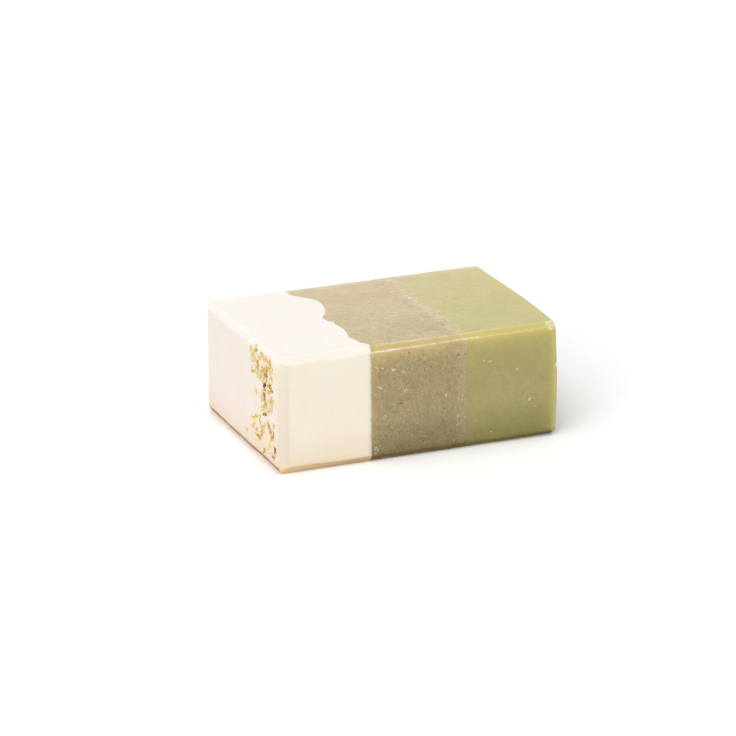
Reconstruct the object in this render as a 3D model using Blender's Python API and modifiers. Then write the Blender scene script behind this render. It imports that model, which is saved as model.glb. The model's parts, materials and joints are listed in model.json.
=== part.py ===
"""Handmade bar of soap, cut from a loaf poured in three colours, with dried petals in one end.

Metres, +Z up. The bar lies on one of its two cut faces, with its origin under its middle.
+X runs along the bar, from the petal end (the top of the loaf) to the green end. The faces
at -Y and +Y were cast against the mould's sides.
"""

import math

import bmesh
import bpy
from mathutils import Matrix, Vector, noise

# Driving dimensions of the bar
bar_length = 0.080
bar_width = 0.0556
bar_height = 0.0323
cream_length = 0.0258  # petal end to the middle of the first border
olive_length = 0.0277  # middle of the first border to the middle of the second

# How far each border strays from its middle, where the fresh pour rippled
first_border_ripple = 0.0028
second_border_ripple = 0.0008

# Planed edges: how far each cut reaches along its faces, measured from the edge
front_top_chamfer = 0.0014
front_bottom_on_front = 0.0021
front_bottom_on_bottom = 0.00125
front_upright_on_front = 0.0029
front_upright_on_end = 0.0011
back_top_chamfer = 0.0022
back_bottom_chamfer = 0.0013
back_upright_chamfer = 0.0022
petal_end_top_on_top = 0.0006
petal_end_top_on_end = 0.0020
petal_end_bottom_chamfer = 0.0013
green_end_top_chamfer = 0.0006
green_end_bottom_chamfer = 0.0007
green_end_upright_chamfer = 0.0004

# What is left of the front's two long cuts at the green end, where they run out
front_top_end_share = 0.75
front_bottom_end_share = 0.55

# Crumbled places on the edges of the green end
corner_chip_size = 0.0023
edge_chip_size = 0.0009
foot_chip_size = 0.0011
chip_roughness_share = 0.45

# Petal crumbs, at full size; each crumb is a share of these
petal_length = 0.0026
petal_width = 0.0010
petal_thickness = 0.00028
petal_curl = 0.00040  # rise of a petal's tips over its middle
petal_cup = 0.00014  # rise of its long edges over its middle
petal_sink = 0.0002  # how deep a petal is pressed into the soap

# Room between pieces that touch, and what a cutter reaches past its work
seat_clearance = 0.0003
cutter_overrun = 0.004
weld_distance = 0.000001

# Facets
border_steps = 3
petal_steps = 6
petal_cross_steps = 2
seat_sides = 12
chip_steps = 2

# First border, from back to front: share of half the bar's width, share of the ripple
first_border_shares = (
    (0.90, -0.96),
    (0.77, -0.64),
    (0.68, 0.04),
    (0.56, 0.57),
    (0.47, 0.82),
    (0.36, 0.70),
    (0.23, 0.36),
    (0.12, 0.04),
    (0.03, -0.38),
    (-0.06, -0.50),
    (-0.14, -0.32),
    (-0.24, -0.14),
    (-0.34, -0.02),
    (-0.45, -0.14),
    (-0.56, -0.32),
    (-0.64, -0.43),
    (-0.74, -0.07),
    (-0.83, 0.25),
    (-0.90, 0.52),
    (-0.96, 0.36),
)
second_border_shares = (
    (0.95, 0.94),
    (0.58, 0.56),
    (0.36, 0.19),
    (0.14, -0.81),
    (-0.14, -0.56),
    (-0.40, -0.38),
    (-0.75, -0.06),
    (-0.95, 0.56),
)

# Chips: share of half the length, of half the width and of the height where each is centred,
# then the shares of its size along X, Y and Z
corner_chip_shares = (1.010, -1.015, 1.015), (1.0, 0.9, 0.75)
edge_chip_shares = (1.004, -1.008, 0.62), (0.8, 0.8, 1.5)
foot_chip_shares = (1.004, -1.010, 0.01), (1.0, 0.9, 0.8)

# Petals seen facing the end: share of half the width to the right of its middle, share of
# the height, share of the petal length, share of the petal width, turn in degrees
golden_petal_shares = (
    (0.405, 0.928, 1.00, 1.00, 28),
    (0.460, 0.842, 0.60, 0.90, 35),
    (0.508, 0.892, 0.70, 0.50, 26),
    (0.325, 0.818, 1.00, 0.85, 15),
    (0.645, 0.915, 1.05, 0.55, 14),
    (0.760, 0.926, 0.95, 0.90, 25),
    (0.825, 0.870, 0.85, 0.95, 30),
    (0.692, 0.851, 0.75, 0.60, 26),
    (0.686, 0.749, 0.68, 0.90, 88),
    (0.458, 0.752, 0.55, 0.75, 60),
    (0.530, 0.775, 0.70, 0.85, 32),
    (0.512, 0.727, 0.55, 0.70, 30),
    (0.588, 0.728, 0.95, 0.75, 72),
    (0.642, 0.649, 0.80, 0.70, 20),
    (0.762, 0.652, 0.50, 0.50, 25),
    (0.815, 0.784, 0.55, 0.70, 20),
    (0.668, 0.530, 0.75, 0.75, 20),
    (0.590, 0.488, 0.72, 0.80, 35),
    (0.412, 0.577, 0.80, 0.80, 165),
    (0.777, 0.597, 0.90, 0.60, 18),
    (0.857, 0.612, 0.50, 0.70, 30),
    (0.822, 0.548, 0.80, 0.70, 85),
    (0.325, 0.322, 1.00, 0.60, 14),
    (0.420, 0.355, 0.72, 0.65, 15),
    (0.332, 0.257, 1.00, 0.85, 35),
    (0.415, 0.244, 0.70, 0.75, 45),
    (0.582, 0.262, 0.82, 0.66, 12),
    (0.545, 0.300, 0.55, 0.75, 50),
    (0.615, 0.317, 0.75, 0.75, 25),
    (0.812, 0.268, 0.68, 0.75, 60),
    (0.868, 0.390, 0.55, 0.80, 85),
    (0.752, 0.172, 0.85, 0.80, 40),
    (0.135, 0.155, 0.50, 0.80, 30),
)
brown_petal_shares = (
    (0.298, 0.910, 0.60, 0.50, 20),
    (0.342, 0.734, 1.10, 0.60, 12),
    (0.606, 0.812, 0.75, 0.65, 18),
    (0.672, 0.795, 0.70, 0.60, 16),
    (0.645, 0.690, 0.80, 0.85, 16),
    (0.768, 0.720, 0.80, 0.75, 35),
    (0.830, 0.686, 0.80, 0.70, 12),
    (0.636, 0.588, 0.85, 0.95, 87),
    (0.632, 0.432, 0.75, 0.65, 8),
    (0.450, 0.196, 0.90, 1.00, 5),
    (0.742, 0.361, 0.62, 0.75, 20),
    (0.787, 0.320, 0.60, 0.80, 10),
    (0.900, 0.187, 0.68, 0.95, 80),
    (0.855, 0.125, 0.65, 0.60, 15),
)
leaf_crumb_shares = (
    (0.335, 0.874, 0.75, 0.60, 15),
    (0.588, 0.940, 0.60, 0.70, 22),
    (0.438, 0.794, 0.75, 0.55, 16),
    (0.768, 0.886, 0.52, 0.52, 30),
    (0.738, 0.488, 0.62, 0.60, 20),
    (0.556, 0.552, 0.85, 0.70, 88),
    (0.500, 0.350, 0.75, 0.75, 86),
    (0.532, 0.218, 0.50, 0.60, 28),
    (0.868, 0.318, 0.72, 0.95, 80),
    (0.597, 0.100, 0.60, 0.75, 60),
)
curl_shares = (0.6, 1.0, 0.3, 0.8, 0.45)  # taken in turn, so that neighbours curl unlike each other
tip_width_share = 0.35  # a petal's width at its tips, over its width in the middle

# Colours of the soaps and of what is in them (linear RGB)
soap_roughness = 0.55
petal_roughness = 0.75
colours = {
    "cream_soap": (0.90, 0.83, 0.73),
    "olive_soap": (0.52, 0.43, 0.26),
    "green_soap": (0.50, 0.47, 0.22),
    "golden_petal": (0.72, 0.42, 0.07),
    "brown_petal": (0.22, 0.09, 0.03),
    "leaf_crumb": (0.35, 0.28, 0.08),
}


def clear_scene():
    for thing in list(bpy.data.objects):
        bpy.data.objects.remove(thing, do_unlink=True)


def new_collection(name):
    collection = bpy.data.collections.new(name)
    bpy.context.scene.collection.children.link(collection)
    return collection


def make_material(name, roughness):
    material = bpy.data.materials.new(name)
    material.use_nodes = True
    shader = material.node_tree.nodes["Principled BSDF"]
    shader.inputs["Base Color"].default_value = (*colours[name], 1)
    shader.inputs["Roughness"].default_value = roughness
    shader.inputs["Metallic"].default_value = 0
    return material


def add_object(name, bm, collection, material=None):
    """The bmesh as an object in a collection, with its material."""
    mesh = bpy.data.meshes.new(name)
    bm.to_mesh(mesh)
    bm.free()
    thing = bpy.data.objects.new(name, mesh)
    collection.objects.link(thing)
    if material:
        mesh.materials.append(material)
    return thing


def as_cutter(thing):
    thing.hide_render = True
    thing.display_type = "WIRE"
    return thing


def cut(thing, cutter, operation="DIFFERENCE"):
    boolean = thing.modifiers.new(cutter.name, "BOOLEAN")
    boolean.operation = operation
    boolean.solver = "EXACT"
    boolean.object = cutter


def planed_edges():
    """Each planed edge: its two sides, how far its cut reaches along each, what is left at +X."""
    front, back = Vector((0, -1, 0)), Vector((0, 1, 0))
    top, bottom = Vector((0, 0, 1)), Vector((0, 0, -1))
    petal_end, green_end = Vector((-1, 0, 0)), Vector((1, 0, 0))
    return (
        (front, top, front_top_chamfer, front_top_chamfer, front_top_end_share),
        (front, bottom, front_bottom_on_front, front_bottom_on_bottom, front_bottom_end_share),
        (front, petal_end, front_upright_on_front, front_upright_on_end, 1),
        (back, top, back_top_chamfer, back_top_chamfer, 1),
        (back, bottom, back_bottom_chamfer, back_bottom_chamfer, 1),
        (back, petal_end, back_upright_chamfer, back_upright_chamfer, 1),
        (petal_end, top, petal_end_top_on_end, petal_end_top_on_top, 1),
        (petal_end, bottom, petal_end_bottom_chamfer, petal_end_bottom_chamfer, 1),
        (green_end, top, green_end_top_chamfer, green_end_top_chamfer, 1),
        (green_end, bottom, green_end_bottom_chamfer, green_end_bottom_chamfer, 1),
        (front, green_end, green_end_upright_chamfer, green_end_upright_chamfer, 1),
        (back, green_end, green_end_upright_chamfer, green_end_upright_chamfer, 1),
    )


def plane_off(bm, side_a, side_b, on_a, on_b, end_share):
    """Takes one edge off the block with a flat cut, and closes the cut."""
    half = Vector((bar_length, bar_width, bar_height)) / 2
    corner = (side_a + side_b) * half + Vector((0, 0, half.z))
    along = Vector((1, 0, 0))
    start = corner if end_share == 1 else corner - along * half.x
    narrowing = along * (end_share - 1) / bar_length
    everything = list(bm.verts) + list(bm.edges) + list(bm.faces)
    cut_off = bmesh.ops.bisect_plane(
        bm,
        geom=everything,
        dist=weld_distance,
        plane_co=start - side_b * on_a,
        plane_no=(side_a / on_b + side_b / on_a + narrowing).normalized(),
        clear_outer=True,
    )
    rim = [item for item in cut_off["geom_cut"] if isinstance(item, bmesh.types.BMEdge)]
    bmesh.ops.contextual_create(bm, geom=rim)


def bar_blank(name, collection, material):
    """The whole bar with its planed edges, before it is divided into its pours."""
    bm = bmesh.new()
    bmesh.ops.create_cube(bm, size=1)
    bmesh.ops.scale(bm, vec=(bar_length, bar_width, bar_height), verts=bm.verts)
    bmesh.ops.translate(bm, vec=(0, 0, bar_height / 2), verts=bm.verts)
    for edge in planed_edges():
        plane_off(bm, *edge)
    bmesh.ops.recalc_face_normals(bm, faces=bm.faces)
    return add_object(name, bm, collection, material)


def border_line(middle, ripple, shares):
    """A border from back to front, as points in the plan of the bar."""
    reach = bar_width / 2 + cutter_overrun
    line = [(middle + x_share * ripple, y_share * bar_width / 2) for y_share, x_share in shares]
    first, last = line[0][0], line[-1][0]
    return [(first, reach)] + line + [(last, -reach)]


def band_prism(name, left_line, right_line, collection):
    """A prism through the bar's height that holds what lies between two lines of its plan."""
    curve = bpy.data.curves.new(name, "CURVE")
    curve.dimensions = "2D"
    curve.fill_mode = "BOTH"
    curve.extrude = bar_height / 2 + cutter_overrun
    curve.resolution_u = border_steps
    outline = left_line + right_line[::-1]
    corners = {0, len(left_line) - 1, len(left_line), len(outline) - 1}
    spline = curve.splines.new("BEZIER")
    spline.bezier_points.add(len(outline) - 1)
    spline.use_cyclic_u = True
    for index, (point, place) in enumerate(zip(spline.bezier_points, outline)):
        point.co = (*place, 0)
        kind = "VECTOR" if index in corners else "AUTO"
        point.handle_left_type = kind
        point.handle_right_type = kind
    drawn = bpy.data.objects.new(name + "_outline", curve)
    drawn.location.z = bar_height / 2
    collection.objects.link(drawn)
    bpy.context.view_layer.update()
    graph = bpy.context.evaluated_depsgraph_get()
    bm = bmesh.new()
    bm.from_mesh(bpy.data.meshes.new_from_object(drawn.evaluated_get(graph)))
    bmesh.ops.remove_doubles(bm, verts=bm.verts, dist=weld_distance)
    bmesh.ops.recalc_face_normals(bm, faces=bm.faces)
    prism = add_object(name, bm, collection)
    prism.matrix_world = drawn.matrix_world.copy()
    bpy.data.objects.remove(drawn, do_unlink=True)
    return as_cutter(prism)


def shifted(line, by):
    return [(x + by, y) for x, y in line]


def make_pours(parts, cutters, materials):
    """The three pours, each the bar's blank held between its two borders."""
    petal_side = -bar_length / 2
    first_middle = petal_side + cream_length
    second_middle = first_middle + olive_length
    first = border_line(first_middle, first_border_ripple, first_border_shares)
    second = border_line(second_middle, second_border_ripple, second_border_shares)
    reach = bar_width / 2 + cutter_overrun
    petal_limit = [(petal_side - cutter_overrun, reach), (petal_side - cutter_overrun, -reach)]
    green_limit = shifted(petal_limit, bar_length + 2 * cutter_overrun)
    gap = seat_clearance / 2
    bands = (
        ("cream_layer", "cream_soap", petal_limit, shifted(first, -gap)),
        ("olive_layer", "olive_soap", shifted(first, gap), shifted(second, -gap)),
        ("green_layer", "green_soap", shifted(second, gap), green_limit),
    )
    pours = {}
    for name, slot, left_line, right_line in bands:
        pour = bar_blank(name, parts, materials[slot])
        prism = band_prism(name + "_band", left_line, right_line, cutters)
        cut(pour, prism, "INTERSECT")
        pours[name] = pour
    return pours


def chip(name, size, shares, collection):
    """A rough lump that takes a crumbled place off an edge of the bar."""
    (x_share, y_share, z_share), stretch_shares = shares
    bm = bmesh.new()
    bmesh.ops.create_icosphere(bm, subdivisions=chip_steps, radius=1)
    for vert in bm.verts:
        vert.co *= 1 + chip_roughness_share * noise.noise(vert.co)
    bmesh.ops.scale(bm, vec=[size * share for share in stretch_shares], verts=bm.verts)
    lump = add_object(name, bm, collection)
    lump.location = (x_share * bar_length / 2, y_share * bar_width / 2, z_share * bar_height)
    return as_cutter(lump)


def chip_edges(green, cutters):
    for name, size, shares in (
        ("corner_chip", corner_chip_size, corner_chip_shares),
        ("edge_chip", edge_chip_size, edge_chip_shares),
        ("foot_chip", foot_chip_size, foot_chip_shares),
    ):
        cut(green, chip(name, size, shares, cutters))


def petal_place(across_share, up_share, turn, depth):
    """Where a petal lies on the end: its length turned from the bar's front, its back inwards."""
    outward = Vector((-1, 0, 0))
    across = Vector((0, -1, 0))
    angle = math.radians(turn)
    along = across * math.cos(angle) + Vector((0, 0, 1)) * math.sin(angle)
    axes = Matrix((along, outward.cross(along), outward)).transposed().to_4x4()
    height = Vector((0, 0, up_share * bar_height))
    end = outward * (bar_length / 2 - depth)
    return Matrix.Translation(end + across * across_share * bar_width / 2 + height) @ axes


def petal(name, shares, curl, parts, material):
    """A dried crumb of petal: a tapered strap, cupped across and curled along its length."""
    across_share, up_share, length_share, width_share, turn = shares
    length = petal_length * length_share
    width = petal_width * width_share
    bm = bmesh.new()
    bmesh.ops.create_grid(bm, x_segments=petal_steps, y_segments=petal_cross_steps, size=1)
    for vert in bm.verts:
        along, across, _ = vert.co
        taper = tip_width_share + (1 - tip_width_share) * (1 - along**2)
        rise = curl * length_share * along**2 + petal_cup * width_share * across**2
        vert.co = (along * length / 2, across * taper * width / 2, rise)
    crumb = add_object(name, bm, parts, material)
    crumb.matrix_world = petal_place(across_share, up_share, turn, petal_sink)
    wall = crumb.modifiers.new("thickness", "SOLIDIFY")
    wall.thickness = petal_thickness
    wall.offset = 1
    crumb.data.shade_smooth()
    return crumb


def petal_seat(name, shares, seats):
    """The dent that a petal was pressed into, with its clearance all round."""
    across_share, up_share, length_share, width_share, turn = shares
    depth = petal_sink + seat_clearance
    bm = bmesh.new()
    bmesh.ops.create_cone(
        bm,
        cap_ends=True,
        segments=seat_sides,
        radius1=1,
        radius2=1,
        depth=depth + cutter_overrun,
    )
    span = petal_length * length_share + 2 * seat_clearance
    breadth = petal_width * width_share + 2 * seat_clearance
    bmesh.ops.scale(bm, vec=(span / 2, breadth / 2, 1), verts=bm.verts)
    bmesh.ops.translate(bm, vec=(0, 0, (depth + cutter_overrun) / 2), verts=bm.verts)
    seat = add_object(name, bm, seats)
    seat.matrix_world = petal_place(across_share, up_share, turn, depth)
    return as_cutter(seat)


def press_petals(cream, parts, seats, materials):
    """Every petal, and its dent in the cream pour."""
    crumbs = [("golden_petal", shares) for shares in golden_petal_shares]
    crumbs += [("brown_petal", shares) for shares in brown_petal_shares]
    crumbs += [("leaf_crumb", shares) for shares in leaf_crumb_shares]
    made = []
    for index, (slot, shares) in enumerate(crumbs):
        name = f"petal_{index + 1:02d}"
        curl = petal_curl * curl_shares[index % len(curl_shares)]
        made.append(petal(name, shares, curl, parts, materials[slot]))
        petal_seat(name + "_seat", shares, seats)
    dents = cream.modifiers.new("petal_seats", "BOOLEAN")
    dents.operation = "DIFFERENCE"
    dents.solver = "EXACT"
    dents.operand_type = "COLLECTION"
    dents.collection = seats
    return made


def main():
    clear_scene()
    parts = new_collection("bar_of_soap")
    cutters = new_collection("cutters")
    seats = new_collection("petal_seats")
    materials = {}
    for name in colours:
        roughness = soap_roughness if name.endswith("soap") else petal_roughness
        materials[name] = make_material(name, roughness)
    pours = make_pours(parts, cutters, materials)
    chip_edges(pours["green_layer"], cutters)
    petals = press_petals(pours["cream_layer"], parts, seats, materials)
    holder = bpy.data.objects.new("bar_of_soap_origin", None)
    parts.objects.link(holder)
    for piece in list(pours.values()) + petals:
        piece.parent = holder


main()
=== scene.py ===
"""Dresses a handmade bar of soap: three poured soaps with planed edges, and dried petals in one end."""

import json
import math
from collections import namedtuple

import bmesh
import bpy
import numpy as np
from bpy.props import FloatProperty, FloatVectorProperty, PointerProperty
from bpy.types import Operator, Panel, PropertyGroup
from mathutils import Matrix, Vector, noise
from mathutils.bvhtree import BVHTree

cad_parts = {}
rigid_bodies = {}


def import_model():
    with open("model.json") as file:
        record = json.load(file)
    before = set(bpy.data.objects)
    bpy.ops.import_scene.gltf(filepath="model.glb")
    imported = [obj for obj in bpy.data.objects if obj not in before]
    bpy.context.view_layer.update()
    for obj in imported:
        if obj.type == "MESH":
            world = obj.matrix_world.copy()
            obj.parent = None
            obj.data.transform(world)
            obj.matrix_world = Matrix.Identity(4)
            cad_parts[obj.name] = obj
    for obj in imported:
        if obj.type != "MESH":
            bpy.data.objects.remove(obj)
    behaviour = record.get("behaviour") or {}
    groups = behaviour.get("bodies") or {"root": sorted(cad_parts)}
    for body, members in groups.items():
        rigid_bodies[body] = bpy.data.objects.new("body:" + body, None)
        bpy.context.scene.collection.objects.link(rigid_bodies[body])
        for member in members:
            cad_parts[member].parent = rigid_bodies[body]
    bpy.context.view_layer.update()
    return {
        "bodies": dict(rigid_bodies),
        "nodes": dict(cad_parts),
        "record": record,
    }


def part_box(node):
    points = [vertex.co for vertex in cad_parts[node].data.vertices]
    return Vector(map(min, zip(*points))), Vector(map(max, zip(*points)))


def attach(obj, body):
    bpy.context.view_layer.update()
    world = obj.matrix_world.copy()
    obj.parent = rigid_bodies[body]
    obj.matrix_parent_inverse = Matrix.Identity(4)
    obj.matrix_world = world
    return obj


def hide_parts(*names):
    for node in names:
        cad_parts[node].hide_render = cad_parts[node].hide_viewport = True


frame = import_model()

bl_info = {
    "name": "Bar of soap",
    "version": (1, 0, 0),
    "blender": (4, 5, 0),
    "location": "3D View > Sidebar > Soap",
    "description": "Makes the visible soap, its pressed petals and the stage it is shown on",
    "category": "Object",
}

# The bar's own box, from its pours, in metres
pour_nodes = ("cream_layer", "olive_layer", "green_layer")
bar_low = np.min([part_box(node)[0] for node in pour_nodes], axis=0)
bar_high = np.max([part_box(node)[1] for node in pour_nodes], axis=0)
bar_middle = (bar_low + bar_high) / 2
bar_half = (bar_high - bar_low) / 2
root_body = next(iter(frame["bodies"]))

# Sides of the bar: the axis that each faces, and which way
sides = {
    "petal_end": (0, -1),
    "green_end": (0, 1),
    "front": (1, -1),
    "back": (1, 1),
    "foot": (2, -1),
    "top": (2, 1),
}

# How finely the soap is modelled, in metres
fine_step = 0.00022
coarse_step = 0.00036
fine_band = 0.0034

# How the hand-cut surface strays from flat: depth and wavelength of each kind of unevenness
surface_ripples = (
    (0.00010, 0.017),
    (0.000035, 0.0045),
    (0.000014, 0.0013),
)
skin_depth = 0.0015  # how far into the soap the unevenness reaches
arris_rough = 0.00006
arris_rough_wave = 0.0011
arris_reach = 0.00020
chamfer_wander_share = 0.14
chamfer_wander_wave = 0.011
bulge_power = 1.4
bow_start_share = 0.8  # of half the length: where the green end begins to bulge and bow
# How far the green end bows out in plan: shares of half the width, metres
end_bow = ((-1, -0.92, -0.7, -0.4, 0.4, 0.65, 1), (0.0001, 0.0004, 0.0008, 0.0010, 0.0009, 0.0005, 0.0004))

# A crumbled place's roughness, its wavelength and its soft rim, as shares of its radius
crumble_rough_share = 0.5
crumble_wave_share = 0.5
crumble_soft_share = 0.15
# Crumbled places: share of half the length, of half the width and of the height, then the
# radius and how far it is crushed, in metres
crumbled_places = (
    ((0.965, -0.975, 0.985), 0.0016, 0.00022),
    ((1.00, -0.96, 0.985), 0.0011, 0.00026),
    ((1.00, -0.995, 0.955), 0.0008, 0.00018),
    ((1.00, -0.995, 0.625), 0.0009, 0.00034),
    ((1.00, -0.98, 0.012), 0.0009, 0.00022),
    ((0.31, -0.975, 0.985), 0.0007, 0.00016),
    ((0.995, 0.40, 0.99), 0.0009, 0.00020),
)

# Flecks and specks that stand out, on the front and on the top. Each has its share of half the
# length and of the height (front) or of half the width (top), half its length and half its width
# in millimetres, its lean in degrees from the bar's length, and how strong it is
pale_marks = {
    "front": (
        (-0.181, 0.784, 0.55, 0.24, -25, 1.0),
        (-0.106, 0.751, 0.70, 0.45, 10, 0.58),
        (-0.302, 0.820, 0.80, 0.26, -15, 0.75),
        (-0.256, 0.807, 0.35, 0.22, 20, 0.65),
        (-0.278, 0.642, 0.60, 0.24, -40, 1.0),
        (-0.299, 0.590, 0.40, 0.20, 80, 0.72),
        (-0.098, 0.591, 0.65, 0.55, 0, 0.55),
        (0.062, 0.527, 0.50, 0.45, 0, 0.58),
        (0.197, 0.503, 1.10, 0.30, 85, 0.50),
        (0.258, 0.544, 0.45, 0.24, 0, 0.60),
        (0.286, 0.302, 0.60, 0.20, 88, 0.78),
        (0.282, 0.219, 0.45, 0.20, 80, 0.75),
        (0.290, 0.435, 1.10, 0.24, 88, 0.52),
        (-0.241, 0.385, 0.90, 0.60, 20, 0.58),
        (-0.111, 0.310, 0.50, 0.26, 0, 0.56),
        (-0.052, 0.186, 0.45, 0.25, 90, 0.52),
        (-0.014, 0.324, 0.65, 0.26, 90, 0.62),
        (-0.301, 0.118, 1.90, 1.05, 90, 0.48),
        (-0.081, 0.657, 0.30, 0.22, 0, 0.62),
        (0.216, 0.587, 0.60, 0.22, 85, 0.50),
        (0.109, 0.964, 0.32, 0.24, 0, 1.0),
        (0.421, 0.967, 0.28, 0.20, 0, 0.9),
        (0.517, 0.739, 0.50, 0.17, 0, 0.95),
        (0.475, 0.753, 0.30, 0.16, 25, 0.70),
        (0.715, 0.639, 0.34, 0.18, 15, 0.95),
        (0.690, 0.648, 0.25, 0.16, 0, 0.42),
        (0.808, 0.354, 0.40, 0.20, 35, 0.88),
        (0.779, 0.319, 0.35, 0.26, 60, 0.46),
        (0.842, 0.282, 0.30, 0.22, 0, 0.38),
        (0.902, 0.550, 0.35, 0.22, 0, 0.34),
        (0.726, 0.809, 0.26, 0.26, 0, 0.34),
        (0.415, 0.233, 0.60, 0.28, 50, 0.40),
        (0.528, 0.120, 0.24, 0.20, 0, 0.66),
        (0.979, 0.043, 0.50, 0.30, 20, 0.90),
    ),
    "top": (
        (0.451, -0.024, 0.32, 0.30, 0, 0.66),
        (0.414, -0.399, 0.80, 0.35, 5, 0.66),
        (0.437, -0.448, 1.00, 0.35, 5, 0.66),
        (0.299, 0.320, 0.35, 0.45, 0, 0.85),
        (0.308, 0.239, 0.80, 0.60, 10, 0.62),
        (0.323, -0.061, 0.60, 0.50, 10, 0.62),
        (0.295, -0.530, 1.20, 0.40, 0, 0.68),
        (0.350, -0.717, 1.00, 0.50, 0, 0.60),
    ),
}
dark_marks = {
    "front": (
        (-0.129, 0.483, 0.19, 0.18, 0, 1.20),
        (-0.196, 0.166, 0.22, 0.18, 0, 0.78),
        (-0.233, 0.219, 0.30, 0.24, 30, 0.66),
        (-0.292, 0.240, 0.28, 0.22, 0, 0.64),
        (-0.068, 0.913, 0.34, 0.22, 0, 0.68),
        (-0.068, 0.867, 0.28, 0.20, 0, 0.66),
        (0.138, 0.760, 0.50, 0.24, -30, 0.66),
        (0.290, 0.836, 0.40, 0.24, 60, 0.72),
        (0.235, 0.923, 0.75, 0.18, 88, 0.68),
        (0.336, 0.916, 0.70, 0.18, 88, 0.66),
        (0.341, 0.581, 0.24, 0.20, 0, 0.68),
        (0.028, 0.193, 0.26, 0.20, 0, 0.66),
        (0.265, 0.067, 0.28, 0.22, 0, 0.70),
        (0.231, 0.172, 0.26, 0.22, 0, 0.66),
        (0.091, 0.295, 0.50, 0.30, 60, 0.60),
        (0.079, 0.647, 0.50, 0.30, 40, 0.60),
        (0.466, 0.738, 0.36, 0.26, 50, 0.72),
    ),
    "top": (
        (0.073, 0.409, 0.34, 0.40, 0, 0.78),
        (-0.122, 0.273, 0.60, 0.24, 0, 0.64),
        (-0.271, -0.158, 0.60, 0.24, 0, 0.62),
        (-0.197, -0.178, 0.50, 0.26, 0, 0.64),
        (-0.084, -0.203, 0.45, 0.28, 0, 0.66),
        (0.021, -0.055, 0.35, 0.30, 0, 0.62),
        (0.025, -0.885, 0.45, 0.35, 0, 0.80),
        (0.149, -0.347, 0.45, 0.30, 0, 0.66),
        (0.161, -0.561, 0.45, 0.30, 0, 0.66),
        (0.120, -0.450, 0.35, 0.30, 0, 0.62),
        (0.205, -0.430, 0.40, 0.30, 0, 0.64),
        (0.220, -0.600, 0.45, 0.30, 0, 0.64),
        (0.100, -0.250, 0.45, 0.30, 0, 0.60),
    ),
}
smudges = {
    "front": (
        (0.262, 0.925, 1.8, 0.8, 0, 0.22),
        (-0.204, 0.514, 1.3, 2.2, 0, 0.14),
        (-0.170, 0.430, 1.2, 1.2, 0, 0.10),
        (0.210, 0.45, 3.0, 3.0, 0, 0.12),
        (0.010, 0.68, 3.6, 2.2, 0, 0.06),
    ),
    "top": (
        (0.180, -0.714, 1.8, 1.0, 0, 0.26),
        (0.140, -0.450, 3.0, 2.6, 0, 0.10),
    ),
}

# Places where one soap was smeared over the other, in the same terms
border_smears = {
    "top": (
        (0.358, -0.50, 4.2, 0.6, 88, 1.0),
        (0.358, -0.64, 3.6, 0.8, 88, 1.1),
        (0.362, -0.78, 3.0, 0.8, 88, 1.0),
        (0.343, 0.88, 3.0, 0.9, 88, 1.2),
        (0.340, 0.72, 3.0, 0.8, 88, 1.1),
        (0.334, 0.60, 1.6, 0.5, 88, 0.8),
    ),
}


def length_property(name, description, default, low=0):
    """A length that a user would change."""
    return FloatProperty(
        name=name, description=description, default=default, min=low, subtype="DISTANCE", unit="LENGTH"
    )


class SoapBarSettings(PropertyGroup):
    """Sizes of the planed edges and of the bulge in the green end."""

    front_top: length_property("Front top", "Planed edge of the front and the top", 0.0014)
    foot_up: length_property("Foot, up", "Front's planed foot, up the front", 0.0020)
    foot_under: length_property("Foot, under", "Front's planed foot, under the bar", 0.00125)
    beside_front: length_property("Upright, front", "Edge beside the petals, on the front", 0.0029)
    beside_end: length_property("Upright, end", "Edge beside the petals, on the end", 0.0011)
    over_end: length_property("Petal end's top, down", "Planed edge above the petals, on the end", 0.0020)
    over_top: length_property("Petal end's top, in", "Planed edge above the petals, on the top", 0.0006)
    back_edge: length_property("Back", "Planed edges of the back, at the top and upright", 0.0022)
    low_edge: length_property("Low", "Planed edges under the back and the petal end", 0.0013)
    small_edge: length_property("Small", "Edges that were only wiped smooth", 0.0006)
    sharp_edge: length_property("Sharp", "Upright edges of the green end", 0.0003)
    arris_round: length_property("Arris", "How far each arris is worn round", 0.00014)
    bulge: length_property("Bulge", "How far the green end stands out at half height", 0.00055)


def colour_property(name, description, default):
    """A colour that a user would change."""
    return FloatVectorProperty(
        name=name, description=description, default=default, subtype="COLOR", size=3, min=0, max=1
    )


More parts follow.
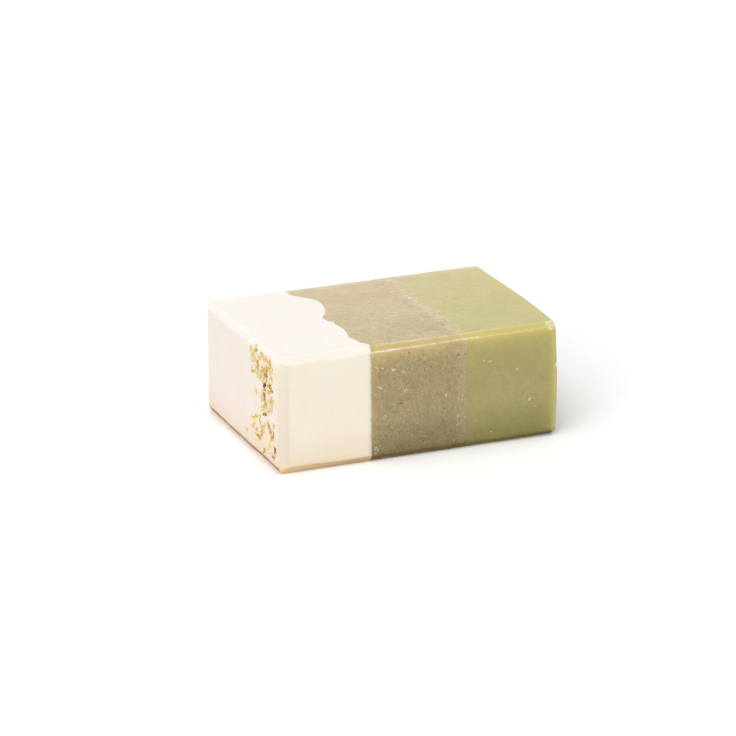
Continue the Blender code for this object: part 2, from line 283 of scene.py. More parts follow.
class SoapColours(PropertyGroup):
    """Colours of the three soaps, on their cut faces, on their moulded sides and in their edges. The cut
    faces are paler than the moulded sides partly from their chalky bloom and partly as painted light,
    the lit top against the shaded sides, most of all on the olive and the green soap. The edge colours
    are partly the fresh planed soap and partly painted light and shade.
    """

    # Cut against side: partly bloom, partly painted light on the top and painted shade on the sides
    cream_cut: colour_property("Cream, cut", "On a cut face", (0.955, 0.905, 0.845))
    cream_side: colour_property("Cream, side", "On a moulded side", (0.945, 0.885, 0.775))
    cream_end: colour_property("Cream, end", "On the loaf's top, round the petals", (0.945, 0.875, 0.825))
    cream_rim: colour_property("Cream, rim", "In the front edge of the top", (0.86, 0.805, 0.725))
    # Painted light: the steep edge above the petals is coloured towards the lit top
    cream_high_painted_light: colour_property("Cream, high", "In the edge above the petals", (0.92, 0.885, 0.855))
    cream_edge: colour_property("Cream, edge", "In an upright edge", (0.82, 0.765, 0.645))
    # Painted shade and painted brown reflected light in the foot's planed edges, not a colour of the soap
    cream_foot_painted_shade: colour_property("Cream, foot", "In an edge at the foot", (0.70, 0.52, 0.31))
    olive_cut: colour_property("Olive, cut", "On a cut face", (0.64, 0.535, 0.34))
    olive_side: colour_property("Olive, side", "On a moulded side", (0.402, 0.325, 0.172))
    olive_edge: colour_property("Olive, edge", "In an edge", (0.575, 0.44, 0.18))
    # Painted shade and painted brown reflected light in the foot's planed edges, not a colour of the soap
    olive_foot_painted_shade: colour_property("Olive, foot", "In an edge at the foot", (0.17, 0.10, 0.005))
    green_cut: colour_property("Green, cut", "On a cut face", (0.655, 0.575, 0.305))
    green_side: colour_property("Green, side", "On a moulded side", (0.406, 0.366, 0.147))
    green_edge: colour_property("Green, edge", "In an edge", (0.565, 0.485, 0.152))
    # Painted shade and painted brown reflected light in the foot's planed edges, not a colour of the soap
    green_foot_painted_shade: colour_property("Green, foot", "In an edge at the foot", (0.19, 0.145, 0.005))
    chalk: colour_property("Chalk", "White bloom on worn arrises", (0.95, 0.93, 0.85))


def angle_property(name, description, degrees):
    """An angle that a user would change."""
    angle = math.radians(degrees)
    return FloatProperty(
        name=name, description=description, default=angle, subtype="ANGLE", unit="ROTATION"
    )


def strength_property(name, description, default):
    """A strength of light that a user would change."""
    return FloatProperty(name=name, description=description, default=default, min=0)


class StageSettings(PropertyGroup):
    """Where the camera stands and how strong the lamps are."""

    azimuth: angle_property("Azimuth", "Turn of the camera about the bar, from its front", -22.03)
    elevation: angle_property("Elevation", "Height of the camera above the horizon", 19.36)
    roll: angle_property("Roll", "Tilt of the picture", -0.358)
    distance: length_property("Distance", "From the camera to the origin, along its sight", 1.19977)
    aim_right: length_property("Aim right", "From the picture's middle right to the origin", 0.00308, -1)
    aim_up: length_property("Aim up", "From the picture's middle up to the origin", -0.01489, -1)
    lens: FloatProperty(name="Lens", description="Focal length in millimetres", default=214.9, min=1)
    sky_strength: strength_property("Room light", "Strength of the even light", 0.625)
    overhead_strength: strength_property("Overhead lamp", "Strength of the lamp above", 0.92)
    front_strength: strength_property("Front lamp", "Strength of the lamp in front", 1.275)


# Shape of the soap


def uneven(points, wavelength, seed=0.0):
    """Smooth noise between -1 and 1 at each point, the same wherever two pours meet."""
    return np.array([noise.noise(place) for place in (points / wavelength + seed).tolist()])


def ease(low, high, value):
    """0 below low, 1 above high, and a smooth step between."""
    share = np.clip((value - low) / (high - low), 0, 1)
    return share * share * (3 - 2 * share)


def over(value, soft):
    """What value has over zero, with its corner rounded over a distance."""
    rounded = (value + soft) ** 2 / (4 * soft)
    return np.where(value > soft, value, np.where(value < -soft, 0, rounded))


def depth(points, side):
    """How far each point lies inside one side of the bar."""
    axis, way = sides[side]
    face = bar_high[axis] if way > 0 else bar_low[axis]
    return way * (face - points[:, axis])


# An edge of the bar: its two sides, how far its cut reaches along each (at reach_places, where it
# changes along the bar), how softly it is worn, how fast its painted glow fades on each side, its kind,
# the strength of its painted glow, and the strength of the bloom on its two arrises. The painted glow
# stands in for light that gets into the soap through the edge; at the foot it is painted shade
Edge = namedtuple("Edge", "first second on_first on_second wear fades kind glow blooms")
edge_kinds = ("top", "side", "foot", "rim")
reach_places = (0.0, 0.33, 0.75, 1.0)  # shares of the bar's length
no_bloom = (0, 0)

# How far the painted glow of an edge reaches into the faces beside it, in metres
close_fade = 0.00035
upright_fade = 0.0002
end_upright_fade = 0.0007
end_fade = 0.0009
far_fade = 0.0012
front_fade = 0.0016


def tapered(length, *shares):
    return tuple(length * share for share in shares)


def planed_edges():
    bar = bpy.context.scene.soap_bar
    down = tapered(bar.front_top, 1.50, 0.98, 0.84, 0.75)
    back_on_top = tapered(bar.front_top, 1.05, 0.92, 0.81, 0.75)
    up = tapered(bar.foot_up, 1.0, 0.88, 0.72, 0.74)
    under = tapered(bar.foot_under, 1.0, 1.05, 1.12, 1.80)
    back, low, steep = bar.back_edge, bar.low_edge, bar.low_edge * 1.5
    small, sharp, upright = bar.small_edge, bar.sharp_edge, (bar.beside_front, bar.beside_end)
    close, far = (close_fade,) * 2, far_fade
    return (
        Edge("front", "top", down, back_on_top, 1, (front_fade, close_fade), "top", 1, (1, 0.8)),
        Edge("front", "foot", up, under, 1, close, "foot", 0.8, (0.05, 0.5)),
        Edge("front", "petal_end", *upright, 2, (upright_fade, close_fade), "side", 0.9, no_bloom),
        Edge("back", "top", back, back, 1, (far, close_fade), "top", 1, (0.2, 0.6)),
        Edge("back", "petal_end", back, back, 1, close, "side", 1, no_bloom),
        Edge("back", "foot", low, low, 1, close, "foot", 1, (0.05, 0.4)),
        Edge("petal_end", "foot", steep, low, 1, close, "foot", 1, no_bloom),
        Edge("petal_end", "top", bar.over_end, bar.over_top, 1, close, "rim", 0, no_bloom),
        Edge("green_end", "top", small, small, 1, (far, end_fade), "top", 0.9, (0.5, 0.4)),
        Edge("green_end", "foot", small, small, 1, close, "foot", 1, (0, 0.2)),
        Edge("green_end", "front", sharp, sharp, 1, (far, end_upright_fade), "side", 1, (0.3, 0.3)),
        Edge("green_end", "back", sharp, sharp, 1, (far, far), "side", 1, (0.1, 0.1)),
    )


def along_bar(points):
    """Each point's share of the bar's length."""
    return (points[:, 0] - bar_low[0]) / (bar_high[0] - bar_low[0])


def reaches(points):
    """How far each edge's cut reaches along its two sides at each point; it wanders as a plane does."""
    found = []
    for n, edge in enumerate(planed_edges()):
        wander = 1 + chamfer_wander_share * uneven(points, chamfer_wander_wave, n)
        both = (np.broadcast_to(on, len(reach_places)) for on in (edge.on_first, edge.on_second))
        found.append([wander * np.interp(along_bar(points), reach_places, on) for on in both])
    return found


def from_cut(points, edge, reach):
    """How far each point lies inside the flat that one edge was planed to, and that flat's lean."""
    on_first, on_second = reach
    steep = np.hypot(1 / on_first, 1 / on_second)
    inside = depth(points, edge.first) / on_second + depth(points, edge.second) / on_first - 1
    return inside / steep, (1 / on_second / steep, 1 / on_first / steep)


def at_share(x_share, y_share, z_share):
    """A place in the bar from shares of its half length, its half width and its height."""
    x, y = bar_middle[:2] + np.array((x_share, y_share)) * bar_half[:2]
    return np.array((x, y, z_share * bar_high[2]))


def shaped(points, cuts):
    """Lattice points of the plain block, moved onto the real surface of the hand-cut bar."""
    moved = points.copy()
    worn = np.zeros(len(points))
    for edge, reach in zip(planed_edges(), cuts):
        inside, lean = from_cut(moved, edge, reach)
        past = over(-inside, bpy.context.scene.soap_bar.arris_round * edge.wear)
        worn = np.maximum(worn, np.exp(-((from_cut(points, edge, reach)[0] / arris_reach) ** 2)))
        for side, share in zip((edge.first, edge.second), lean):
            axis, way = sides[side]
            moved[:, axis] -= way * past * share
    hollow = sum(
        size * uneven(points, wave, number) for number, (size, wave) in enumerate(surface_ripples)
    )
    hollow += worn * arris_rough * (0.5 + uneven(points, arris_rough_wave, 7.3))
    for side, (axis, way) in sides.items():
        near = np.exp(-((depth(points, side) / skin_depth) ** 2))
        moved[:, axis] -= way * near * hollow
    across = (points - bar_middle) / bar_half
    swell = 1 - np.abs(across[:, 2]) ** bulge_power
    stands = bpy.context.scene.soap_bar.bulge * swell + np.interp(across[:, 1], *end_bow)
    moved[:, 0] += stands * ease(bow_start_share, 1, across[:, 0])
    for shares, radius, crush in crumbled_places:
        place = at_share(*shares)
        inward = bar_middle - place
        inward /= np.abs(inward).max()
        away = np.linalg.norm(points - place, axis=1) / radius
        away += crumble_rough_share * uneven(points, radius * crumble_wave_share, 3.1)
        moved += np.outer(crush * over(1 - away, crumble_soft_share), inward)
    moved[:, 2] = np.maximum(moved[:, 2], bar_low[2])
    return moved


def graded(low, high):
    """Places from low to high, closer together near both ends, where the edges are."""
    near = np.linspace(0, fine_band, round(fine_band / fine_step) + 1)
    room = high - low - 2 * fine_band
    between = np.linspace(0, room, round(room / coarse_step) + 1)[1:-1] + fine_band
    return low + np.concatenate([near, between, high - low - near[::-1]])


def grid_faces(numbers):
    """The faces of a grid of point numbers."""
    corners = (numbers[:-1, :-1], numbers[1:, :-1], numbers[1:, 1:], numbers[:-1, 1:])
    return np.stack(corners, axis=-1).reshape(-1, 4)


def skin(counts):
    """Lattice numbers and faces of the outside of a block of cells."""
    outside = np.zeros(counts, bool)
    outside[[0, -1]] = True
    outside[:, [0, -1]] = True
    outside[:, :, [0, -1]] = True
    number = np.full(counts, -1)
    number[outside] = np.arange(outside.sum())
    faces = []
    for axis in range(3):
        for end in (0, -1):
            quads = grid_faces(number.take(end, axis=axis))
            faces.append(quads[:, ::-1] if (end == 0) != (axis == 1) else quads)
    return np.argwhere(outside), np.concatenate(faces)


weld = 0.00001
crease_angle = math.radians(70)
border_smoothing_shares = (0.1, 0.2, 0.4, 0.2, 0.1)


def solid_tree(node):
    """A tree of a solid's faces, for finding them along a line."""
    mesh = frame["nodes"][node].data
    return BVHTree.FromPolygons(
        [vert.co for vert in mesh.vertices], [face.vertices for face in mesh.polygons]
    )


def border_at(y_places, pour, neighbour):
    """Where two pours meet, read from their solids along the bar at each place across it."""
    found = np.zeros(len(y_places))
    for node, way in ((pour, 1), (neighbour, -1)):
        tree = solid_tree(node)
        along = Vector((way, 0, 0))
        start = (bar_low[0] if way > 0 else bar_high[0]) - way * fine_band
        for number, y in enumerate(y_places):
            y = min(max(y, bar_low[1] + fine_step), bar_high[1] - fine_step)
            place = Vector((start, y, bar_middle[2]))
            while place is not None:
                wall = place.x
                place = tree.ray_cast(place + along * weld, along)[0]
            found[number] += wall / 2
    return np.convolve(np.pad(found, 2, mode="edge"), border_smoothing_shares, mode="valid")


def shown(name, mesh, material):
    """A new piece of the scene with a mesh and a finish."""
    mesh.shade_smooth()
    mesh.materials.append(material)
    piece = bpy.data.objects.new(name, mesh)
    bpy.context.scene.collection.objects.link(piece)
    return piece


def mesh_piece(name, points, faces, attributes, material):
    """A piece from points and faces, with a named value at each point."""
    mesh = bpy.data.meshes.new(name)
    mesh.from_pydata(points.tolist(), [], faces.tolist())
    for key, values in attributes.items():
        mesh.attributes.new(key, "FLOAT", "POINT").data.foreach_set("value", values)
    piece = shown(name, mesh, material)
    mesh.set_sharp_from_angle(angle=crease_angle)
    return piece


def marks(points, places):
    """How near each point is to the nearest of some marks: their strength on them, 0 far off."""
    found = np.zeros(len(points))
    for face, rows in places.items():
        for first, second, long, wide, lean, strength in rows:
            place = at_share(first, -1, second) if face == "front" else at_share(first, second, 1)
            away = (points - place) * 1000
            rise, off = (away[:, 2], away[:, 1]) if face == "front" else (away[:, 1], away[:, 2])
            turn = math.radians(lean)
            along = away[:, 0] * math.cos(turn) + rise * math.sin(turn)
            across = rise * math.cos(turn) - away[:, 0] * math.sin(turn)
            spread = (along / long) ** 2 + (across / wide) ** 2 + (off / wide) ** 2
            found = np.maximum(found, strength * np.exp(-spread / 2))
    return found


bloom_width = 0.00016
bloom_wave = 0.004
# Painted light along the back edge of the top: how far it reaches and how strong it is
back_light_reach = 0.0010
back_light_share = 0.6
# Where white bloom lies on the lower and on the upper arris: share of the length, strength
bloom_low = (
    (0.00, 0.31, 0.325, 0.40, 0.44, 0.50, 0.55, 0.64, 0.68, 0.72, 0.76, 0.86, 0.95, 1.00),
    (0.00, 0.00, 1.60, 1.30, 1.00, 0.75, 0.65, 0.55, 0.80, 0.80, 0.40, 0.28, 0.20, 0.50),
)
bloom_high = (
    (0.00, 0.31, 0.40, 0.44, 0.54, 0.60, 0.66, 0.72, 0.80, 1.00),
    (0.00, 0.10, 0.30, 1.00, 0.80, 0.45, 0.60, 0.40, 0.30, 0.25),
)


def surface_values(points, cuts):
    """What the soap's finish depends on, for each point of the plain block."""
    values = {kind + part: np.zeros(len(points)) for kind in edge_kinds for part in ("_glow", "_flat")}
    on_cut = np.ones(len(points))
    bloom = np.zeros(len(points))
    lower, upper = (np.interp(along_bar(points), *table) for table in (bloom_low, bloom_high))
    for edge, reach in zip(planed_edges(), cuts):
        inside = from_cut(points, edge, reach)[0]
        on_first = depth(points, edge.second) - depth(points, edge.first)
        # Painted glow beside each edge, fading into the faces
        glow = edge.glow * np.exp(-np.maximum(inside, 0) / np.where(on_first > 0, *edge.fades))
        flat = 1 - ease(-arris_reach, arris_reach, inside)
        for part, found in (("_glow", glow), ("_flat", flat)):
            values[edge.kind + part] = np.maximum(values[edge.kind + part], found)
        if edge.second == "top":
            on_cut *= 1 - flat
            if edge.first == "back":
                # Painted light along the back edge of the top
                values["painted_back_light"] = back_light_share * np.exp(-np.abs(inside) / back_light_reach)
        line = np.where(on_first > 0, edge.blooms[0] * lower, edge.blooms[1] * upper)
        bloom = np.maximum(bloom, line * np.exp(-((inside / bloom_width) ** 2)))
    top, foot = depth(points, "top"), depth(points, "foot")
    crumbs = np.zeros(len(points))
    for shares, radius, _ in crumbled_places:
        away = np.linalg.norm(points - at_share(*shares), axis=1) / radius
        crumbs = np.maximum(crumbs, 1 - ease(0.4, 1.3, away))
    values["cut_face"] = on_cut * (1 - ease(0, arris_reach, np.minimum(top, foot)))
    values["end_face"] = 1 - ease(0, arris_reach, depth(points, "petal_end"))
    values["bloom"] = bloom * (0.75 + 0.5 * uneven(points, bloom_wave, 1.7))
    values["crumbled"] = crumbs
    values["height"] = foot / (bar_high[2] - bar_low[2])
    values["from_front"] = depth(points, "front") * 1000
    for name, places in (
        ("pale_mark", pale_marks),
        ("dark_mark", dark_marks),
        ("smudge", smudges),
        ("smeared_over", border_smears),
    ):
        values[name] = marks(points, places)
    return values


def pour_piece(kind):
    """One pour as a finely modelled skin between its two borders."""
    name = slot = kind + "_soap"
    node = kind + "_layer"
    left_line, right_line, finish = pours[kind]
    y_places = graded(bar_low[1], bar_high[1])
    z_places = graded(bar_low[2], bar_high[2])
    left, right = left_line(y_places), right_line(y_places)
    length = float(np.mean(right - left))
    shares = graded(0, length) / length
    lattice, faces = skin((len(shares), len(y_places), len(z_places)))
    i, j, k = lattice.T
    x = left[j] + shares[i] * (right[j] - left[j])
    points = np.stack([x, y_places[j], z_places[k]], axis=1)
    cuts = reaches(points)
    values = surface_values(points, cuts)
    if kind != "cream":
        values["from_left"] = (x - left[j]) * 1000
    if kind != "green":
        values["from_right"] = (right[j] - x) * 1000
    moved = shaped(points, cuts)
    if kind == "cream":
        values["stain"] = petal_stain(points)
        moved = dented(points, moved)
    piece = mesh_piece(name, moved, faces, values, finish())
    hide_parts(node)
    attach(piece, root_body)
    return piece


# Petals


def petal_lie(node):
    """Where a petal's solid lies: its middle, the way of its length, its length and its width."""
    corners = np.array([tuple(vert.co) for vert in frame["nodes"][node].data.vertices])
    middle = (corners.max(axis=0) + corners.min(axis=0)) / 2
    flat = corners[:, 1:] - corners[:, 1:].mean(axis=0)
    ways = np.linalg.eigh(flat.T @ flat)[1]
    along, across = ways[:, 1], ways[:, 0]
    length, width = np.ptp(flat @ along), np.ptp(flat @ across)
    return middle, along, across, length, width


petal_nodes = sorted(node for node in frame["nodes"] if node.startswith("petal"))
petal_lies = {node: petal_lie(node) for node in petal_nodes}
dent_depth = 0.00006
stain_reach = 0.0011
petal_stain_share = 0.55

# How dark each petal dried, from 0 for straw to 1, in the order of the nodes of each slot
petal_tones = {
    "golden_petal": (
        (0.66, 0.80, 0.38, 0.28, 0.48, 0.52, 0.15, 0.58, 0.50, 0.05, 0.00)
        + (0.24, 0.05, 0.64, 0.30, 0.12, 0.54, 0.38, 0.24, 0.46, 0.24, 0.00)
        + (0.52, 0.64, 0.38, 0.46, 0.52, 0.30, 0.36, 0.60, 0.32, 0.24, 0.14)
    ),
    "brown_petal": (
        (0.00, 0.00, 0.12, 0.50, 0.94, 0.38, 0.44)
        + (0.46, 0.70, 0.44, 0.44, 0.34, 0.86, 0.36)
    ),
    "leaf_crumb": (0.16, 0.18, 0.48, 0.08, 0.26, 0.00, 0.50, 0.46, 0.72, 0.38),
}

# Bare places that the petals have stained: share of half the width to the right, seen facing
# the end, share of the height, strength
stained_places = (
    (0.345, 0.845, 0.5),
    (0.405, 0.886, 0.6),
    (0.720, 0.825, 0.8),
    (0.605, 0.840, 0.6),
    (0.635, 0.875, 0.3),
    (0.550, 0.740, 0.4),
    (0.615, 0.460, 0.7),
    (0.475, 0.458, 0.5),
    (0.380, 0.465, 0.3),
    (0.340, 0.515, 0.3),
    (0.715, 0.388, 0.5),
    (0.735, 0.226, 0.5),
    (0.655, 0.238, 0.6),
    (0.400, 0.170, 0.7),
    (0.480, 0.155, 0.5),
    (0.525, 0.185, 0.6),
    (0.360, 0.330, 0.5),
    (0.865, 0.245, 0.7),
    (0.915, 0.235, 0.4),
    (0.910, 0.575, 0.4),
    (0.850, 0.740, 0.3),
    (0.965, 0.880, 0.8),
    (0.945, 0.845, 0.5),
)


def from_petals(points):
    """Distance of each point from the nearest petal's outline, in widths of that petal."""
    nearest = np.full(len(points), 9.0)
    for middle, along, across, length, width in petal_lies.values():
        flat = points[:, 1:] - middle[1:]
        spot = np.hypot(flat @ along / length * width, flat @ across) / (width / 2)
        nearest = np.minimum(nearest, spot)
    return nearest


def dented(points, moved):
    """The petal end, pressed in a little under each petal."""
    end = np.exp(-((depth(points, "petal_end") / skin_depth) ** 2))
    result = moved.copy()
    result[:, 0] += end * dent_depth * (1 - ease(0.7, 1.3, from_petals(points)))
    return result


def petal_stain(points):
    """How near the petals are, for the colour that they gave to the cream soap."""
    places = [(middle, petal_stain_share) for middle, *_ in petal_lies.values()]
    places += [(at_share(-1, -y_share, z_share), strength) for y_share, z_share, strength in stained_places]
    stain = np.zeros(len(points))
    for place, strength in places:
        away = np.linalg.norm(points - place, axis=1)
        stain += strength * np.exp(-((away / stain_reach) ** 2))
    return np.minimum(stain, 1)
petal_steps = (16, 6)
sliver_steps = (8, 3)
petal_skin = 0.00007
petal_lift = 0.00012
sliver_length = 0.0010
sliver_width = 0.00024


def strap(dice, number, steps, length, width, lift, tone):
    """A ragged, curled strap of dried petal: its points along, across and outwards, and its values."""
    u, v = np.meshgrid(*(np.linspace(-1, 1, count + 1) for count in steps), indexing="ij")
    u, v = u.ravel(), v.ravel()
    place = np.stack([u * 2.2, v * 0.9, np.full(len(u), number * 3.7)], axis=1)
    ragged = uneven(place, 1.0)
    belly = np.sqrt(1 - np.abs(u) ** dice.uniform(1.8, 3.0) * 0.93)
    bend = dice.uniform(-0.5, 0.5)
    wide = width / 2 * (v * belly * (0.95 + 0.5 * ragged) + bend * (u * u - 0.4))
    far = length / 2 * (u * (1.02 + 0.1 * ragged) + 0.06 * np.cos(v * math.pi * 2) * np.abs(u))
    curl = dice.uniform(0.0, 0.9) * (u - dice.uniform(-0.6, 0.6)) ** 2
    cup = dice.uniform(-0.3, 0.5) * v * v
    twist = dice.uniform(-0.35, 0.35) * u * v
    wrinkle = 0.35 * uneven(place * (1.0, 2.6, 1.0), 0.6, 5.0)
    out = lift * (0.25 + curl + cup + twist + wrinkle)
    values = {"along": u, "across": v, "tone": np.clip(tone + 0.22 * ragged, 0, 1)}
    return far, wide, out, values


def petal_piece(node, number, material, tone):
    """A dried crumb of petal, pressed flush into the soap, with slivers that broke off it."""
    middle, along, across, length, width = petal_lies[node]
    dice = np.random.RandomState(number + 11)
    shreds = [(petal_steps, 0.0, 0.0, 0.0, length * 0.98, width * 0.92, petal_lift, tone)]
    for _ in range(dice.randint(4, 8)):
        far, wide = dice.uniform(-0.8, 0.8) * length, dice.uniform(-1.0, 1.0) * (width + sliver_width)
        size, slim = dice.uniform(0.5, 1.6) * sliver_length, dice.uniform(0.5, 1.3) * sliver_width
        shade_of = np.clip(tone * 0.8 + dice.uniform(-0.15, 0.3), 0, 1)
        turn = dice.normal(0, 0.5)
        shreds.append((sliver_steps, far, wide, turn, size, slim, petal_lift * 0.7, shade_of))
    points, faces, values, count = [], [], {"along": [], "across": [], "tone": []}, 0
    for index, (steps, far, wide, turn, size, slim, lift, shade_of) in enumerate(shreds):
        long, short, out, more = strap(dice, number + index * 0.37, steps, size, slim, lift, shade_of)
        u = far + long * math.cos(turn) - short * math.sin(turn)
        v = wide + long * math.sin(turn) + short * math.cos(turn)
        y = middle[1] + u * along[0] + v * across[0]
        z = middle[2] + u * along[1] + v * across[1]
        grid = np.arange(len(u)).reshape(steps[0] + 1, steps[1] + 1) + count
        faces.append(grid_faces(grid))
        points.append(np.stack([bar_low[0] - out, y, z], axis=1))
        count += len(u)
        for key, found in more.items():
            values[key].append(found)
    values = {key: np.concatenate(found) for key, found in values.items()}
    piece = mesh_piece(
        node + "_dried", np.concatenate(points), np.concatenate(faces), values, material
    )
    wall = piece.modifiers.new("skin", "SOLIDIFY")
    wall.thickness = petal_skin
    wall.offset = 0
    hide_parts(node)
    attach(piece, root_body)
    return piece


# Crumbs that hang at the broken corner: shares of half the length, of half the width and of the
# height, then the crumb's length along the bar, across it and up, in metres, and its turn
corner_crumbs = (
    (0.938, -0.985, 0.985, 0.00045, 0.00030, 0.00024, 10),
    (0.985, -0.955, 0.996, 0.00160, 0.00032, 0.00024, 48),
    (0.965, -1.000, 0.945, 0.00100, 0.00024, 0.00034, -6),
    (0.958, -0.990, 0.968, 0.00045, 0.00028, 0.00030, 60),
    (0.945, -0.985, 0.968, 0.00040, 0.00024, 0.00022, -30),
    (0.995, -0.930, 0.992, 0.00045, 0.00030, 0.00020, 10),
    (0.998, -0.996, 0.625, 0.00030, 0.00026, 0.00060, 0),
    (0.985, -0.990, 0.020, 0.00050, 0.00028, 0.00022, 15),
    (0.90, -0.985, 0.972, 0.00035, 0.00020, 0.00018, 0),
)


def crumbs_piece(material):
    """The pale crumbs that the plane tore from the corner, each a rough lump half sunk in it."""
    cloud = bmesh.new()
    for number, (*shares, long, wide, tall, turn) in enumerate(corner_crumbs):
        made = bmesh.ops.create_icosphere(cloud, subdivisions=3, radius=1)["verts"]
        for vert in made:
            rough = noise.noise(vert.co * 1.3 + Vector((number, 0, 0)))
            fine = noise.noise(vert.co * 3.5 + Vector((0, number, 0)))
            vert.co *= 0.8 + 0.55 * rough + 0.2 * fine
        size = Matrix.Diagonal((long / 2, wide / 2, tall / 2, 1))
        lie = Matrix.Translation(at_share(*shares)) @ Matrix.Rotation(math.radians(turn), 4, "Z")
        bmesh.ops.transform(cloud, matrix=lie @ size, verts=made)
    mesh = bpy.data.meshes.new("corner_crumbs")
    cloud.to_mesh(mesh)
    cloud.free()
    piece = shown("corner_crumbs", mesh, material)
    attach(piece, root_body)
    return piece


# Finishes

# Heights of the finest grain and how far light gets into each stuff, in metres
grain_height = 0.00005
crumb_grain_height = 0.00004
rib_height = 0.00002
soap_scatter = 0.0006
petal_scatter = 0.0003
soap_ior = 1.45


class Finish:
    """A material's node tree, with one short call for each kind of node that it uses.

    A value is a number, a colour, a socket, or the name of a value that the mesh carries. Scales of
    noise are in waves a millimetre.
    """

    def __init__(self, name, ground=None):
        self.material = bpy.data.materials.new(name)
        self.material.use_nodes = True
        self.tree = self.material.node_tree
        self.shader = self.tree.nodes["Principled BSDF"]
        self.place = self.scaled(self.node("ShaderNodeTexCoord").outputs["Object"], (1000,) * 3)
        self.ground = ground

    def node(self, kind, **settings):
        made = self.tree.nodes.new(kind)
        for key, value in settings.items():
            setattr(made, key, value)
        return made

    def value(self, name):
        return self.node("ShaderNodeAttribute", attribute_name=name).outputs["Fac"]

    def feed(self, socket, value):
        if isinstance(value, str):
            value = self.value(value)
        if isinstance(value, bpy.types.NodeSocket):
            self.tree.links.new(value, socket)
        elif hasattr(value, "__len__") and socket.type == "RGBA":
            socket.default_value = (*value[:3], 1)
        else:
            socket.default_value = value

    def scaled(self, vector, factors):
        made = self.node("ShaderNodeVectorMath", operation="MULTIPLY")
        self.feed(made.inputs[0], vector)
        made.inputs[1].default_value = factors
        return made.outputs[0]

    def dragged(self, angle, factors):
        """The place, turned and drawn out the way that the wire went."""
        made = self.node("ShaderNodeVectorRotate", rotation_type="Z_AXIS")
        self.feed(made.inputs["Vector"], self.place)
        made.inputs["Angle"].default_value = angle
        return self.scaled(made.outputs[0], factors)

    def cloud(self, scale, detail=3.0, vector=None):
        """Noise about 0.5."""
        made = self.node("ShaderNodeTexNoise")
        self.feed(made.inputs["Vector"], vector or self.place)
        made.inputs["Scale"].default_value = scale
        made.inputs["Detail"].default_value = detail
        return made.outputs["Fac"]

    def sums(self, operation, first, second=0.0, clamp=False):
        made = self.node("ShaderNodeMath", operation=operation, use_clamp=clamp)
        self.feed(made.inputs[0], first)
        self.feed(made.inputs[1], second)
        return made.outputs[0]

    def times(self, first, *others):
        for other in others:
            first = self.sums("MULTIPLY", first, other)
        return first

    def rest(self, share):
        return self.sums("SUBTRACT", 1.0, share)

    def step(self, value, low, high, start=0.0, end=1.0):
        made = self.node("ShaderNodeMapRange", interpolation_type="SMOOTHSTEP")
        self.feed(made.inputs["Value"], value)
        for key, number in (("From Min", low), ("From Max", high), ("To Min", start), ("To Max", end)):
            made.inputs[key].default_value = number
        return made.outputs[0]

    def patches(self, scale, detail, low, high, start=0.0, end=1.0, vector=None):
        """Soft patches: start where the noise is low, end where it is high."""
        return self.step(self.cloud(scale, detail, vector), low, high, start, end)

    def strayed(self, value, scale, reach):
        """A value whose outlines wander."""
        stray = self.sums("SUBTRACT", self.cloud(scale, 3), 0.5)
        return self.sums("ADD", value, self.times(stray, reach))

    def marked(self, name, scale, low, high):
        """A mark with a broken outline, from a named value."""
        return self.step(self.strayed(name, scale, 1.6), low, high)

    def mix(self, share, first, second, blend="MIX"):
        made = self.node("ShaderNodeMix", data_type="RGBA", clamp_factor=True, blend_type=blend)
        self.feed(made.inputs["Factor"], share)
        self.feed(made.inputs[6], first)
        self.feed(made.inputs[7], second)
        return made.outputs[2]

    def lay(self, share, colour):
        """Lays a colour over the ground where the share is high."""
        self.ground = self.mix(share, self.ground, colour)

    def shade(self, share, factor):
        """Darkens the ground, or lightens it by a factor over 1, where the share is high."""
        self.ground = self.mix(share, self.ground, factor, "MULTIPLY")

    def ramp(self, value, stops):
        made = self.node("ShaderNodeValToRGB")
        self.feed(made.inputs[0], value)
        points = made.color_ramp.elements
        while len(points) < len(stops):
            points.new(0.5)
        for point, (place, colour) in zip(points, stops):
            point.position = place
            point.color = (*colour, 1)
        return made.outputs[0]

    def specks(self, scale, radius, kept_share):
        """Round specks: one in each kept cell, of a radius given in cells."""
        made = self.node("ShaderNodeTexVoronoi", feature="F1")
        self.feed(made.inputs["Vector"], self.place)
        made.inputs["Scale"].default_value = scale
        split = self.node("ShaderNodeSeparateColor")
        self.feed(split.inputs[0], made.outputs["Color"])
        size = self.step(split.outputs[1], 0, 1, radius * 0.5, radius)
        inside = self.sums("LESS_THAN", made.outputs["Distance"], size)
        return self.times(inside, self.sums("LESS_THAN", split.outputs[0], kept_share))

    def bump(self, height, distance, strength=1.0):
        made = self.node("ShaderNodeBump")
        self.feed(made.inputs["Height"], height)
        made.inputs["Distance"].default_value = distance
        made.inputs["Strength"].default_value = strength
        self.feed(self.shader.inputs["Normal"], made.outputs[0])

    def wax(self, weight, reach, colour):
        """Light that gets into the soap and comes out a little way off."""
        self.shader.subsurface_method = "RANDOM_WALK"
        self.shader.inputs["Subsurface Weight"].default_value = weight
        self.shader.inputs["Subsurface Scale"].default_value = reach
        self.shader.inputs["Subsurface Radius"].default_value = colour
        self.shader.inputs["IOR"].default_value = soap_ior

    def coloured(self, roughness):
        """The material, once its ground and its roughness are fed to the shader."""
        self.feed(self.shader.inputs["Base Color"], self.ground)
        self.feed(self.shader.inputs["Roughness"], roughness)
        return self.material


